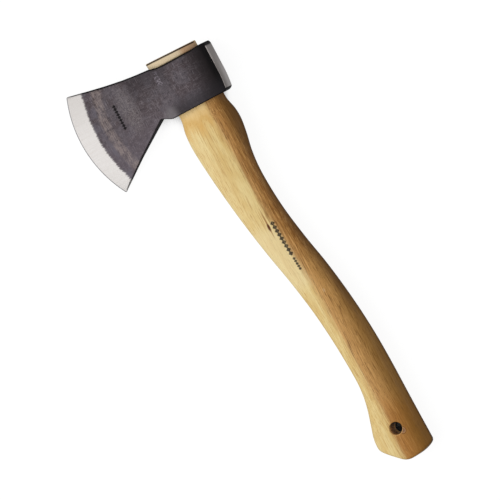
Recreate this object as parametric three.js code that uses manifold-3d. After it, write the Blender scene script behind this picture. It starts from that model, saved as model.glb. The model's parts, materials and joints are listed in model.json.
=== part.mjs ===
// A hatchet: a forged steel head on a curved hickory haft, held by a wooden wedge and a steel wedge.
// It lies on its side, at rest on the shoulder of its bevel, one cheek of the eye and the end of the haft.
// Units are millimetres. In the tool's own frame x runs down the haft from the top of the head,
// y points from the cutting edge to the poll, and z is across the thickness of the tool.

import * as THREE from 'three';
import { mergeVertices } from 'three/addons/utils/BufferGeometryUtils.js';
import Module from 'manifold-3d';

const wasm = await Module();
wasm.setup();

// Head
const HEAD_TOP = 1.7;
const HEAD_UNDERSIDE = 45.7;
const POLL_FACE = 31.4;
const POLL_CHAMFER = 1.3;
// Corners of the head's side view, each with the handle of the curve that rounds it
const POLL_TOP = { start: { x: 1.7, y: 29 }, bend: { x: 1.7, y: POLL_FACE }, end: { x: 4.1, y: POLL_FACE } };
const POLL_FALL = {
  start: { x: 27, y: POLL_FACE },
  bend: { x: 36, y: POLL_FACE },
  end: { x: 41.7, y: 30.4 },
};
const POLL_UNDER = { bend: { x: 45.2, y: 29.4 }, end: { x: HEAD_UNDERSIDE, y: 24.4 } };
const UNDER_EYE = {
  start: { x: HEAD_UNDERSIDE, y: -21 },
  bend: { x: 45.5, y: -23.2 },
  end: { x: 43.4, y: -26.8 },
};
const NOTCH = { start: { x: 41.5, y: -30.2 }, bend: { x: 40.8, y: -31.4 }, end: { x: 41.5, y: -32.6 } };
const BEARD = { start: { x: 62, y: -62.6 }, bend: { x: 69.6, y: -73 }, end: { x: 79.5, y: -86.1 } };
const HEEL = { bend: { x: 80.6, y: -87.6 }, end: { x: 79.3, y: -88.3 }, edge: { x: 76.1, y: -90.6 } };
const TOE = { edge: { x: -10.3, y: -95.8 }, bend: { x: -11.5, y: -95.2 }, end: { x: -11.3, y: -93.6 } };
const TOP_SWEEP = { toe: { x: -8.8, y: -82.5 }, middle: { x: -1, y: -50 }, end: { x: 0, y: -26 } };
const TOP_DIP = { bend: { x: 1.2, y: -17 }, front: { x: 2.8, y: -8 }, back: { x: 2.8, y: 18 }, end: 24 };
const EDGE_RADIUS = 105;
const EDGE_CENTRE = { x: 27.5, y: 2.2 };
const EDGE_HALF_THICKNESS = 0.2;
const EDGE_SIDES = 160;
const BEVEL_SLOPE = 0.19;

// Half the thickness of the head at stations from the poll (left) to the cutting edge (right)
const CHEEK = [
  [POLL_FACE - POLL_CHAMFER, 13.4],
  [22, 14.5],
  [8, 15.2],
  [-6, 14.9],
  [-17, 13.2],
  [-27, 10.7],
  [-38, 8.4],
  [-54, 6.2],
  [-72, 4.4],
  [-90, 3.0],
  [-112, 1.9],
];
const CHEEK_SPAN = 140;
const CHEEK_STEPS = 36;

// Eye, an oval hole that opens out towards the top of the head, so that the wedges lock the haft
const EYE_TOP = { back: 23.1, front: -22.6, half: 10.4 };
const EYE_BOTTOM = { back: 23.7, front: -18.7, half: 9.4 };
const EYE_SQUARENESS = 2.3;
const EYE_SIDES = 48;
const EYE_OVERRUN = 5;
const FIT_GAP = 0.3;

// Haft
const HAFT_TOP = -3.7;
const HAFT_END = 383.8;
const BLANK_END = 390;
const SHOULDER_LENGTH = 16;
const HAFT_SQUARENESS = 2.15;
const HAFT_SIDES = 32;
const HAFT_STEPS = 72;
// Outline of the haft on the poll side and on the blade side, from the head to the end
const BACK_EDGE = [
  [46, 23.4],
  [58, 25.7],
  [70, 26.7],
  [84, 24.9],
  [100, 21.8],
  [120, 20.6],
  [150, 22.5],
  [180, 27.2],
  [210, 33.3],
  [240, 37.8],
  [270, 40.8],
  [300, 42.1],
  [345, 42.4],
  [BLANK_END, 43.0],
];
const FRONT_EDGE = [
  [46, -18.4],
  [58, -20.5],
  [72, -21.6],
  [90, -20.6],
  [120, -17.3],
  [150, -13.0],
  [180, -7.6],
  [210, -1.3],
  [240, 3.8],
  [270, 7.0],
  [300, 8.6],
  [316, 8.3],
  [330, 6.0],
  [345, 1.7],
  [355, -1.2],
  [364, -2.0],
  [BLANK_END, -2.2],
];
// Half the width of the haft across the thickness of the tool
const HAFT_HALF_WIDTH = [
  [46, 9.6],
  [64, 12.2],
  [100, 11.8],
  [160, 11.0],
  [240, 10.9],
  [300, 11.5],
  [345, 12.8],
  [BLANK_END, 12.9],
];

// Lanyard hole through the swell at the end of the haft
const HOLE = { x: 356.2, y: 21.7, diameter: 10.4 };
const HOLE_SIDES = 32;

// Corners of the end of the haft in its side view: the slanted front, the flat end and the eased back
const SWELL_FRONT = { start: { x: 358, y: -3.4 }, bend: { x: 366, y: -1.6 }, end: { x: 372.3, y: 4.6 } };
const SLANT_END = { x: 381.4, y: 15.2 };
const FLAT_END = { bend: 18.2, start: 20.2, end: 27.5 };
const HEEL_END = [{ x: 383.5, y: 32.5 }, { x: 380.7, y: 38.8 }, { x: 379.2, y: 42.6 }, { x: 374.5, y: 43.8 }];
const BEYOND = 60;

// Wedges in the top of the haft
const WOOD_WEDGE = { depth: 36, halfTop: 2.9, halfTip: 0.6 };
const STEEL_WEDGE = { width: 19, depth: 24, halfTop: 1.9, halfTip: 0.4, barbs: 3, barb: 0.35, turn: 50 };
const STEEL_WEDGE_RECESS = 0.2;

// Length of everything that cuts right through the tool
const CUT_LENGTH = 80;

// How the tool settles on a level surface: rolled onto the shoulder of its bevel, tipped onto the haft's end
const REST_ROLL = THREE.MathUtils.degToRad(8.46);
const REST_PITCH = THREE.MathUtils.degToRad(0.936);

function mergedPositions(geometry) {
  const bare = geometry.clone();
  bare.deleteAttribute('normal');
  bare.deleteAttribute('uv');
  bare.clearGroups();
  return mergeVertices(bare, 1e-4);
}

function toSolid(geometry) {
  const merged = mergedPositions(geometry);
  return new wasm.Manifold(new wasm.Mesh({
    numProp: 3,
    vertProperties: new Float32Array(merged.attributes.position.array),
    triVerts: new Uint32Array(merged.index.array),
  }));
}

function toGeometry(solid) {
  const mesh = solid.getMesh();
  const geometry = new THREE.BufferGeometry();
  geometry.setAttribute('position', new THREE.BufferAttribute(new Float32Array(mesh.vertProperties), 3));
  geometry.setIndex(new THREE.BufferAttribute(new Uint32Array(mesh.triVerts), 1));
  geometry.computeVertexNormals();
  return geometry;
}

// A smooth curve through [along, across] points, read as the value of across at a given along
function profile(points) {
  const curve = new THREE.SplineCurve(points.map(([along, across]) => new THREE.Vector2(along, across)));
  return (along) => {
    let low = 0;
    let high = 1;
    for (let i = 0; i < 40; i += 1) {
      const middle = (low + high) / 2;
      if ((curve.getPoint(middle).x - along) * (points.at(-1)[0] - points[0][0]) < 0) {
        low = middle;
      } else {
        high = middle;
      }
    }
    return curve.getPoint(low).y;
  };
}

function smoothStep(value) {
  return THREE.MathUtils.smoothstep(value, 0, 1);
}

const mix = THREE.MathUtils.lerp;
const backEdge = profile(BACK_EDGE);
const frontEdge = profile(FRONT_EDGE);
const haftHalfWidth = profile(HAFT_HALF_WIDTH);

// The oval of the eye at a height x, which the haft's tongue fills
function eyeOval(x) {
  const down = THREE.MathUtils.clamp((x - HEAD_TOP) / (HEAD_UNDERSIDE - HEAD_TOP), -0.2, 1);
  return {
    back: mix(EYE_TOP.back, EYE_BOTTOM.back, down),
    front: mix(EYE_TOP.front, EYE_BOTTOM.front, down),
    half: mix(EYE_TOP.half, EYE_BOTTOM.half, down),
    squareness: EYE_SQUARENESS,
  };
}

// The oval of the haft at x: the eye's oval less the fit gap in the head, then the carved handle
function haftOval(x) {
  const eye = eyeOval(x);
  if (x <= HEAD_UNDERSIDE) {
    return { ...eye, back: eye.back - FIT_GAP, front: eye.front + FIT_GAP, half: eye.half - FIT_GAP };
  }
  const out = smoothStep((x - HEAD_UNDERSIDE) / SHOULDER_LENGTH);
  return {
    back: mix(eye.back - FIT_GAP, backEdge(x), out),
    front: mix(eye.front + FIT_GAP, frontEdge(x), out),
    half: mix(eye.half - FIT_GAP, haftHalfWidth(x), out),
    squareness: HAFT_SQUARENESS,
  };
}

// Carves a round bar into ovals: oval(x) gives the front, the back and the half width at x
function carvedBar(start, end, sides, steps, oval) {
  const bar = new THREE.CylinderGeometry(1, 1, end - start, sides, steps);
  const places = bar.attributes.position;
  for (let i = 0; i < places.count; i += 1) {
    const x = places.getY(i) + (start + end) / 2;
    const { back, front, half, squareness } = oval(x);
    const radius = Math.hypot(places.getX(i), places.getZ(i));
    const angle = Math.atan2(places.getX(i), places.getZ(i));
    const across = Math.sign(Math.cos(angle)) * Math.abs(Math.cos(angle)) ** (2 / squareness) * radius;
    const through = Math.sign(Math.sin(angle)) * Math.abs(Math.sin(angle)) ** (2 / squareness) * radius;
    places.setXYZ(i, x, (back + front) / 2 + (across * (back - front)) / 2, through * half);
  }
  return toSolid(bar);
}

// A shape drawn in x and y, extruded through the whole thickness of the tool
function throughTool(shape, curveSegments) {
  const geometry = new THREE.ExtrudeGeometry(shape, {
    depth: CUT_LENGTH,
    bevelEnabled: false,
    curveSegments,
  });
  return toSolid(geometry.translate(0, 0, -CUT_LENGTH / 2));
}

function lineTo(shape, to) {
  shape.lineTo(to.x, to.y);
}

function curveTo(shape, bend, to) {
  shape.quadraticCurveTo(bend.x, bend.y, to.x, to.y);
}

// Where a point lies round the arc of the cutting edge
function edgeAngle(point) {
  return Math.atan2(point.y - EDGE_CENTRE.y, point.x - EDGE_CENTRE.x);
}

// The head seen from its side
function headOutline() {
  const shape = new THREE.Shape();
  shape.moveTo(POLL_TOP.start.x, POLL_TOP.start.y);
  curveTo(shape, POLL_TOP.bend, POLL_TOP.end);
  lineTo(shape, POLL_FALL.start);
  curveTo(shape, POLL_FALL.bend, POLL_FALL.end);
  curveTo(shape, POLL_UNDER.bend, POLL_UNDER.end);
  lineTo(shape, UNDER_EYE.start);
  curveTo(shape, UNDER_EYE.bend, UNDER_EYE.end);
  lineTo(shape, NOTCH.start);
  curveTo(shape, NOTCH.bend, NOTCH.end);
  lineTo(shape, BEARD.start);
  curveTo(shape, BEARD.bend, BEARD.end);
  curveTo(shape, HEEL.bend, HEEL.end);
  shape.absarc(EDGE_CENTRE.x, EDGE_CENTRE.y, EDGE_RADIUS, edgeAngle(HEEL.edge), edgeAngle(TOE.edge), true);
  curveTo(shape, TOE.bend, TOE.end);
  const { toe, middle, end } = TOP_SWEEP;
  shape.bezierCurveTo(toe.x, toe.y, middle.x, middle.y, end.x, end.y);
  curveTo(shape, TOP_DIP.bend, TOP_DIP.front);
  lineTo(shape, TOP_DIP.back);
  shape.lineTo(HEAD_TOP, TOP_DIP.end);
  shape.closePath();
  return shape;
}

// The head seen from above the eye: poll, cheeks that bulge round the eye, and the taper to the bit
function headPlan() {
  const halfThickness = profile(CHEEK);
  const near = [];
  for (let i = 0; i <= CHEEK_STEPS; i += 1) {
    const y = mix(CHEEK[0][0], CHEEK.at(-1)[0], i / CHEEK_STEPS);
    near.push(new THREE.Vector2(y, halfThickness(y)));
  }
  near.unshift(new THREE.Vector2(POLL_FACE, CHEEK[0][1] - POLL_CHAMFER));
  const far = near.map((point) => new THREE.Vector2(point.x, -point.y)).reverse();
  const plan = new THREE.ExtrudeGeometry(new THREE.Shape([...near, ...far]), {
    depth: CHEEK_SPAN,
    bevelEnabled: false,
  });
  const turn = new THREE.Matrix4().makeBasis(
    new THREE.Vector3(0, 1, 0),
    new THREE.Vector3(0, 0, 1),
    new THREE.Vector3(1, 0, 0),
  );
  return toSolid(plan.applyMatrix4(turn).translate(-CHEEK_SPAN / 3, 0, 0));
}

// The two ground bevels of the bit: a double cone about the centre of the curved cutting edge
function bevelCone() {
  const centreHalf = EDGE_HALF_THICKNESS + BEVEL_SLOPE * EDGE_RADIUS;
  const cone = new THREE.LatheGeometry([
    new THREE.Vector2(0, -centreHalf),
    new THREE.Vector2(EDGE_RADIUS, -EDGE_HALF_THICKNESS),
    new THREE.Vector2(EDGE_RADIUS, EDGE_HALF_THICKNESS),
    new THREE.Vector2(0, centreHalf),
  ], EDGE_SIDES);
  return toSolid(cone.rotateX(Math.PI / 2).translate(EDGE_CENTRE.x, EDGE_CENTRE.y, 0));
}

function head() {
  const eye = carvedBar(HEAD_TOP - EYE_OVERRUN, HEAD_UNDERSIDE + EYE_OVERRUN, EYE_SIDES, 1, eyeOval);
  return throughTool(headOutline(), 10).intersect(headPlan()).intersect(bevelCone()).subtract(eye);
}

// The end of the haft seen from its side: a slanted, rounded front, a flat end and an eased back corner
function buttOutline() {
  const shape = new THREE.Shape();
  shape.moveTo(HAFT_TOP - FIT_GAP, -BEYOND);
  shape.lineTo(SWELL_FRONT.start.x, -BEYOND);
  lineTo(shape, SWELL_FRONT.start);
  curveTo(shape, SWELL_FRONT.bend, SWELL_FRONT.end);
  lineTo(shape, SLANT_END);
  shape.quadraticCurveTo(HAFT_END, FLAT_END.bend, HAFT_END, FLAT_END.start);
  shape.lineTo(HAFT_END, FLAT_END.end);
  curveTo(shape, HEEL_END[0], HEEL_END[1]);
  curveTo(shape, HEEL_END[2], HEEL_END[3]);
  shape.lineTo(HEEL_END[3].x, BEYOND);
  shape.lineTo(HAFT_TOP - FIT_GAP, BEYOND);
  shape.closePath();
  return shape;
}

function lanyardHole() {
  const drill = new THREE.CylinderGeometry(HOLE.diameter / 2, HOLE.diameter / 2, CUT_LENGTH, HOLE_SIDES);
  return toSolid(drill.rotateX(Math.PI / 2).translate(HOLE.x, HOLE.y, 0));
}

// The wooden wedge's taper, which runs the whole length of the eye; grow widens it into its slot
function woodenTaper(grow) {
  const shape = new THREE.Shape([
    new THREE.Vector2(HAFT_TOP - grow, -WOOD_WEDGE.halfTop - grow),
    new THREE.Vector2(WOOD_WEDGE.depth + grow, -WOOD_WEDGE.halfTip - grow),
    new THREE.Vector2(WOOD_WEDGE.depth + grow, WOOD_WEDGE.halfTip + grow),
    new THREE.Vector2(HAFT_TOP - grow, WOOD_WEDGE.halfTop + grow),
  ]);
  const taper = new THREE.ExtrudeGeometry(shape, { depth: CUT_LENGTH, bevelEnabled: false });
  return toSolid(taper.rotateX(Math.PI / 2).translate(0, CUT_LENGTH / 2, 0));
}

// The steel wedge: a thin taper with barbed steps, turned across the wooden wedge
function steelWedge(grow) {
  const top = HAFT_TOP + STEEL_WEDGE_RECESS;
  const side = [new THREE.Vector2(top - 3 * grow, STEEL_WEDGE.halfTop + grow)];
  for (let step = 1; step <= STEEL_WEDGE.barbs; step += 1) {
    const down = step / (STEEL_WEDGE.barbs + 1);
    const half = mix(STEEL_WEDGE.halfTop, STEEL_WEDGE.halfTip, down) + grow;
    side.push(new THREE.Vector2(top + down * STEEL_WEDGE.depth, half));
    side.push(new THREE.Vector2(top + down * STEEL_WEDGE.depth, half + STEEL_WEDGE.barb));
  }
  side.push(new THREE.Vector2(top + STEEL_WEDGE.depth + grow, STEEL_WEDGE.halfTip + grow));
  const otherSide = side.map((point) => new THREE.Vector2(point.x, -point.y)).reverse();
  const width = STEEL_WEDGE.width + 2 * grow;
  const wedge = new THREE.ExtrudeGeometry(new THREE.Shape([...side, ...otherSide]), {
    depth: width,
    bevelEnabled: false,
  });
  wedge.translate(0, 0, -width / 2);
  return toSolid(wedge.rotateX(THREE.MathUtils.degToRad(90 - STEEL_WEDGE.turn)));
}

function haft() {
  return carvedBar(HAFT_TOP, BLANK_END, HAFT_SIDES, HAFT_STEPS, haftOval)
    .intersect(throughTool(buttOutline(), 8))
    .subtract(lanyardHole())
    .subtract(woodenTaper(FIT_GAP))
    .subtract(steelWedge(FIT_GAP));
}

function woodenWedge() {
  return woodenTaper(0)
    .intersect(carvedBar(HAFT_TOP, HEAD_UNDERSIDE, HAFT_SIDES, 1, haftOval))
    .subtract(steelWedge(FIT_GAP));
}

function piece(name, solid, color, roughness, metalness) {
  const material = new THREE.MeshStandardMaterial({ color, roughness, metalness });
  const mesh = new THREE.Mesh(toGeometry(solid), material);
  mesh.name = name;
  return mesh;
}

const tool = new THREE.Group();
tool.add(piece('axe_head', head(), 0x504b50, 0.5, 0.7));
tool.add(piece('haft', haft(), 0xc79c5c, 0.5, 0));
tool.add(piece('wooden_wedge', woodenWedge(), 0xd9bd8a, 0.7, 0));
tool.add(piece('steel_wedge', steelWedge(0), 0x8d8a86, 0.4, 0.9));
tool.rotation.set(REST_ROLL, REST_PITCH, 0, 'YXZ');

const hatchet = new THREE.Group();
hatchet.add(tool);
hatchet.updateMatrixWorld(true);

// The origin is the middle of the hatchet's box, on the surface that it lies on
const box = new THREE.Box3().setFromObject(hatchet, true);
const middle = box.getCenter(new THREE.Vector3());
tool.position.set(-middle.x, -middle.y, -box.min.z);
hatchet.updateMatrixWorld(true);

export default hatchet;
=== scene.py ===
# A hatchet lying on a pale floor: a forged steel head, a carved hickory haft and its two wedges.
# Shapes are worked out in the tool's own frame, in millimetres: x runs down the haft from the top of the
# head, y points from the cutting edge to the poll, and z is across the tool's thickness, towards the camera.

import json
import math
from functools import partial, reduce

import bmesh
import bpy
import numpy as np
from mathutils import Matrix, Vector, noise


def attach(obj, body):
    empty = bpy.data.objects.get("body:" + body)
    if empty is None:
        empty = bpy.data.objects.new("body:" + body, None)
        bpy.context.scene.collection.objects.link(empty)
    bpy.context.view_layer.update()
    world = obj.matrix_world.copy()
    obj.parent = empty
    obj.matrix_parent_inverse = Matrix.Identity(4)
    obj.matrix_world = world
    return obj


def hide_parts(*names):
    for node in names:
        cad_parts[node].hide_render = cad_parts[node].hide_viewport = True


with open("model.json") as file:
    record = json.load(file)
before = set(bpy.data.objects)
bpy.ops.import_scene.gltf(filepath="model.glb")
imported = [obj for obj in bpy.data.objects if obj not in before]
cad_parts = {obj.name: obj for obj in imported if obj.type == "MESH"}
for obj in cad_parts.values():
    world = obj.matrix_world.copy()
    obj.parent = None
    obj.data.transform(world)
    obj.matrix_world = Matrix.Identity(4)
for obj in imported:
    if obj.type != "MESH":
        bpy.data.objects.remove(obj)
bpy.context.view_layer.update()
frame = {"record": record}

MM = 0.001

# Head
HEAD_TOP = 1.7
HEAD_UNDER = 45.7
POLL_FACE = 31.4
POLL_MOUNT = 15
POLL_HALF = 12.1
POLL_CHAMFER = 1.3
POLL_TOP_CORNER = 2.4
POLL_UNDER_CORNER = (4, 6)
POLL_DROP = 1
POLL_DROP_START = 27
POLL_DROP_LENGTH = 14.7
NOTCH = -31.4
RIM = 1.1
# Widths in mm of the painted shade along the head's rims, which turn away from the light
RIM_SHADE_WIDTH = 1.3
RIM_SHADE_UNDER_EYE = 0.9
RIM_SHADE_BEARD = 0.45
RIM_SHADE_POLL_CORNER = 2.6
EDGE_RADIUS = 105
EDGE_CENTRE = (27.5, 2.2)
EDGE_CORNER = 1.3
CORNER_REACH = 14
EDGE_HALF = 0.05
MICRO_BEVEL = 0.8
MICRO_HALF = 0.34
FORGING_WAVE = 0.11
LONG_WAVE = 15
SHORT_WAVE = 6

# Outlines of the head as (y, x), from the poll to the cutting edge
TOP_LINE = [(60, 1.7), (24, 1.7), (19, 2.6), (-8, 2.8), (-15, 2), (-22, 0.5), (-26, 0.05), (-37, -0.85),
            (-48, -2.15), (-63, -4.65), (-78, -7.7), (-87, -9.7), (-110, -14.8)]
UNDER_LINE = [(60, 45.7), (-21.5, 45.7), (-24, 44.8), (-30.2, 41.6), (NOTCH, 41.2), (-62.6, 62), (-73, 69.6),
              (-80.7, 75.2), (-110, 98)]
# Half the thickness of the head as (y, z)
CHEEK = [(60, 10.4), (30.1, 13.4), (22, 14.5), (8, 15.2), (-6, 14.9), (-17, 13.2), (-27, 10.7), (-38, 8.4),
         (-54, 6.2), (-72, 4.4), (-90, 3), (-120, 1.3)]
# Width of the ground bevel as (x, width)
BEVEL_WIDTH = [(-30, 10.5), (-8, 12.9), (0, 15.2), (30, 15.6), (50, 14.9), (60, 14), (68, 13), (73, 11.6),
               (95, 8)]

# Eye, an oval that opens out towards the top of the head
EYE_TOP = (23.1, -22.6, 10.4)
EYE_BOTTOM = (23.7, -18.7, 9.4)
EYE_SQUARENESS = 2.3
EYE_FLARE = 0.8
MOUTH_FLARE = 0.5

# Mesh of the head: rows behind the poll's face and down the lip of the eye, in mm, and counts of points
POLL_ROWS = [0, 0.12, 0.35, 0.7, 1.1, POLL_CHAMFER, 1.5, 1.9, 2.4, 3.2, 4.2, 5.4, 6.8, 8.4, 10.2]
POLL_STRAIGHTENS = 12
LIP_ROWS = [-6, 0, 0.12, 0.3, 0.55, EYE_FLARE]
EYE_SIDES = 96
RIM_POINTS = 8
CHEEK_POINTS = 62

# Haft
HAFT_TOP = -3.75
HAFT_TOP_SLANT = 0.025
HAFT_END = 383.9
SHOULDER_LENGTH = 16
HAFT_SQUARENESS = 2.15
# Side view of the haft as (x, y): its poll side and its blade side
BACK_EDGE = [(46, 23.4), (58, 25.7), (70, 26.7), (84, 24.9), (100, 21.8), (120, 20.6), (150, 22.5),
             (180, 27.2), (210, 33.3), (240, 37.8), (270, 40.8), (300, 42.1), (345, 42.4), (390, 43)]
FRONT_EDGE = [(46, -18.4), (58, -20.5), (72, -21.6), (90, -20.6), (120, -17.3), (150, -13), (180, -7.6),
              (210, -1.3), (240, 3.8), (270, 7), (300, 8.6), (316, 8.3), (330, 6), (345, 1.7),
              (355, -1.2), (364, -2), (390, -2.2)]
# Half the haft's width across the tool as (x, z)
HALF_WIDTH = [(46, 9.6), (64, 12.2), (100, 11.8), (160, 11), (240, 10.9), (300, 11.5), (345, 12.8),
              (390, 12.9)]
HOLE = (356.2, 21.7)
HOLE_RADIUS = 5.2
HOLE_RIM = 0.9
# Border between sapwood and heartwood, as steps in (x from, x to, y before, y after), which add up
HEARTWOOD_STEPS = [(50, 120, 5.8, 7.6), (130, 232, 0, 7.9), (312, 348, 0, 1.8), (345, 365, 0, -2.3)]
# Cuts that shape the end of the swell, each as the direction it faces and a point on it, in (x, y)
SWELL_SLANT = ((0.738, -0.675), (372.4, 4.7))
SWELL_HEEL = ((0.907, 0.421), (384.7, 30))
SLANT_ROUNDING = 3.5
HEEL_ROUNDING = 4
END_ROUNDING = 2.6
TOP_ROUNDING = 0.7

# Mesh of the haft: rows along the grip and a fan at each end, which reaches this far on, in mm
GRIP_START = 6
GRIP_END = 352
TOP_FAN = -10
END_FAN = 32
TOP_ROWS = 44
GRIP_ROWS = 232
END_ROWS = 66
HAFT_SIDES = 112
RAY_LENGTH = 70.0
RAY_HALVINGS = 36
HOLE_ROWS = [-3, 0, 0.08, 0.2, 0.4, HOLE_RIM, 5]
HOLE_SIDES = 72

# Wedges
WOOD_DEPTH = 36
WOOD_HALF_TOP = 2.9
WOOD_HALF_TIP = 0.6
WOOD_PROUD = 0.25
KERF_TOP = -12
KERF_HALF = 40
STEEL_TOP = -3.5
STEEL_WIDTH = 19
STEEL_DEPTH = 24
STEEL_HALF_TOP = 1.9
STEEL_HALF_TIP = 0.4
STEEL_TURN = 50
STEEL_BARBS = 3
STEEL_BARB = 0.35
STEEL_EASING = 0.12
SLOT_RISE = 6
FIT = 0.05

# View
VIEW_TILT = math.radians(12.6)
VIEW_TURN = math.radians(28)
VIEW_CENTRE = (170.4, -18.9, 0)
VIEW_WIDTH = 0.41125
VIEW_DISTANCE = 14
SENSOR = 36

# Stage
FLOOR_HALF = 8
FLOOR_CELLS = 8
SHADOW_REACH = 0.03
WORLD_LIGHT = 0.3


def tool_frame(record):
    """The tool's own frame in mm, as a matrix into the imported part's frame, read from its two flat mounts."""
    mounts = {entry["name"]: entry for entry in record["mounts"]}
    down = Vector(mounts["butt_face"]["axis"]).normalized()
    pollward = Vector(mounts["poll_face"]["axis"]).normalized()
    turn = Matrix((down, pollward, down.cross(pollward))).transposed()
    mount = Vector((POLL_MOUNT, POLL_FACE, 0))
    origin = Vector(mounts["poll_face"]["pos_m"]) - turn @ mount * MM
    return Matrix.LocRotScale(origin, turn.to_quaternion(), Vector((MM, MM, MM)))


TOOL = tool_frame(frame["record"])


# ---- curves and numbers

def mix(start, end, share):
    return start + (end - start) * share


def smooth_step(value):
    value = np.clip(value, 0, 1)
    return value * value * (3 - 2 * value)


def smooth_max(first, second, reach):
    """The larger of two fields, with the crease between them rounded over a length of reach."""
    overlap = np.maximum(reach - np.abs(first - second), 0)
    return np.maximum(first, second) + overlap * overlap / (4 * reach)


def spline(points):
    """A Catmull-Rom curve through (along, across) points, as a function that gives across at along."""
    knots = np.array(points, float)
    knots = np.vstack([knots[:1], knots, knots[-1:]])
    share = np.linspace(0, 1, 33)[:, None]
    stretches = []
    for before, start, end, after in zip(knots, knots[1:], knots[2:], knots[3:]):
        leave = (end - before) / 2
        arrive = (after - start) / 2
        bend = 3 * (end - start) - 2 * leave - arrive
        twist = 2 * (start - end) + leave + arrive
        stretches.append(start + leave * share + bend * share**2 + twist * share**3)
    curve = np.vstack(stretches)
    return lambda along: np.interp(along, curve[:, 0], curve[:, 1])


def eased(points, ease):
    """Straight stretches through (along, across) points, with each corner rounded over a length of ease."""
    knots = np.array(sorted(points), float)
    window = np.linspace(-ease / 2, ease / 2, 33)

    def at(along):
        spots = np.asarray(along, float)[..., None] + window
        return np.interp(spots, knots[:, 0], knots[:, 1]).mean(-1)

    return at


top_line = eased(TOP_LINE, 4.0)
under_line = eased(UNDER_LINE, 1.6)
cheek = eased(CHEEK, 9.0)
bevel_width = eased(BEVEL_WIDTH, 5.0)
back_edge = spline(BACK_EDGE)
front_edge = spline(FRONT_EDGE)
half_width = spline(HALF_WIDTH)


# ---- meshes

def add_object(name, data):
    made = bpy.data.objects.new(name, data)
    bpy.context.scene.collection.objects.link(made)
    return made


def new_object(name, points, faces):
    """A mesh object from points in the tool's frame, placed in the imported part's frame."""
    places = np.array(points, float) @ np.array(TOOL.to_3x3()).T + np.array(TOOL.translation)
    mesh = bpy.data.meshes.new(name)
    mesh.from_pydata(places.tolist(), [], faces)
    tidy = bmesh.new()
    tidy.from_mesh(mesh)
    bmesh.ops.remove_doubles(tidy, verts=tidy.verts, dist=1e-7)
    bmesh.ops.recalc_face_normals(tidy, faces=tidy.faces)
    tidy.to_mesh(mesh)
    tidy.free()
    return add_object(name, mesh)


def skin(rings):
    """Quads between rings of points, closed at both ends by a fan to the middle of the end ring."""
    rings = np.array(rings, float)
    rows, sides = rings.shape[:2]
    points = [*rings.reshape(-1, 3), rings[0].mean(0), rings[-1].mean(0)]
    start, end = rows * sides, rows * sides + 1
    faces = []
    for side in range(sides):
        other = (side + 1) % sides
        for row in range(rows - 1):
            here, there = row * sides, (row + 1) * sides
            faces.append((here + side, here + other, there + other, there + side))
        last = (rows - 1) * sides
        faces.append((start, other, side))
        faces.append((end, last + side, last + other))
    return points, faces


def bake(piece):
    """Makes a piece's modifiers part of its mesh."""
    bpy.context.view_layer.update()
    whole = piece.evaluated_get(bpy.context.evaluated_depsgraph_get())
    mesh = bpy.data.meshes.new_from_object(whole)
    piece.modifiers.clear()
    piece.data = mesh


def cut(target, cutter, operation="DIFFERENCE"):
    """Cuts target with the cutter object, or keeps what they share, and removes the cutter."""
    modifier = target.modifiers.new(operation.lower(), "BOOLEAN")
    modifier.operation = operation
    modifier.solver = "EXACT"
    modifier.object = cutter
    bake(target)
    bpy.data.objects.remove(cutter)


def in_tool(piece):
    """The vertices of a piece, in the tool's frame."""
    places = np.zeros(len(piece.data.vertices) * 3)
    piece.data.vertices.foreach_get("co", places)
    back = np.array(TOOL.inverted())
    return places.reshape(-1, 3) @ back[:3, :3].T + back[:3, 3]


def paint(piece, name, values):
    """Stores one number for each vertex, for the materials to read."""
    stored = piece.data.attributes.new(name, "FLOAT", "POINT")
    stored.data.foreach_set("value", np.asarray(values, np.float32))


def shade(piece, sharp):
    """Smooth shading, with edges sharper than an angle in degrees left crisp."""
    piece.data.polygons.foreach_set("use_smooth", [True] * len(piece.data.polygons))
    piece.data.set_sharp_from_angle(angle=math.radians(sharp))


# ---- head

def poll_drop(x):
    """How far the face of the poll falls away towards the underside of the head."""
    return POLL_DROP * np.maximum((x - POLL_DROP_START) / POLL_DROP_LENGTH, 0) ** 2


def edge_line(x):
    """The cutting edge, as y at x."""
    return EDGE_CENTRE[1] - np.sqrt(EDGE_RADIUS**2 - (x - EDGE_CENTRE[0]) ** 2)


def bevel_line(x):
    """The border of the ground bevel, as y at x."""
    return EDGE_CENTRE[1] - np.sqrt((EDGE_RADIUS - bevel_width(x)) ** 2 - (x - EDGE_CENTRE[0]) ** 2)


def edge_reach(x, y):
    """The distance from a point to the cutting edge."""
    return EDGE_RADIUS - np.hypot(x - EDGE_CENTRE[0], y - EDGE_CENTRE[1])


def head_half(x, y):
    """Half the thickness of the head: the cheek, the ground bevel or the chamfer of the poll."""
    reach = edge_reach(x, y)
    shoulder = cheek(bevel_line(x))
    ground = mix(MICRO_HALF, shoulder, (reach - MICRO_BEVEL) / (bevel_width(x) - MICRO_BEVEL))
    micro = mix(EDGE_HALF, MICRO_HALF, np.maximum(reach, 0) / MICRO_BEVEL)
    bevel = np.where(reach < MICRO_BEVEL, micro, ground)
    chamfer = POLL_HALF + POLL_FACE - poll_drop(x) - y
    return np.minimum(np.minimum(cheek(y), bevel), chamfer)


def corner_inset(depth, across, along):
    """How far a rounded corner draws an outline in, at a depth from the end of the piece."""
    left = np.clip(1 - depth / along, 0, 1)
    return across * (1 - np.sqrt(1 - left * left))


def poll_stations():
    """Curves behind the poll's face, which straighten with depth, and the insets of its round corners."""
    stations = []
    for depth in POLL_ROWS:
        top = corner_inset(depth, POLL_TOP_CORNER, POLL_TOP_CORNER)
        under = corner_inset(depth + POLL_DROP, *POLL_UNDER_CORNER)
        fade = 1 - depth / POLL_STRAIGHTENS
        stations.append((lambda x, d=depth, f=fade: POLL_FACE - d - poll_drop(x) * f, top, under))
    return stations


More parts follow.
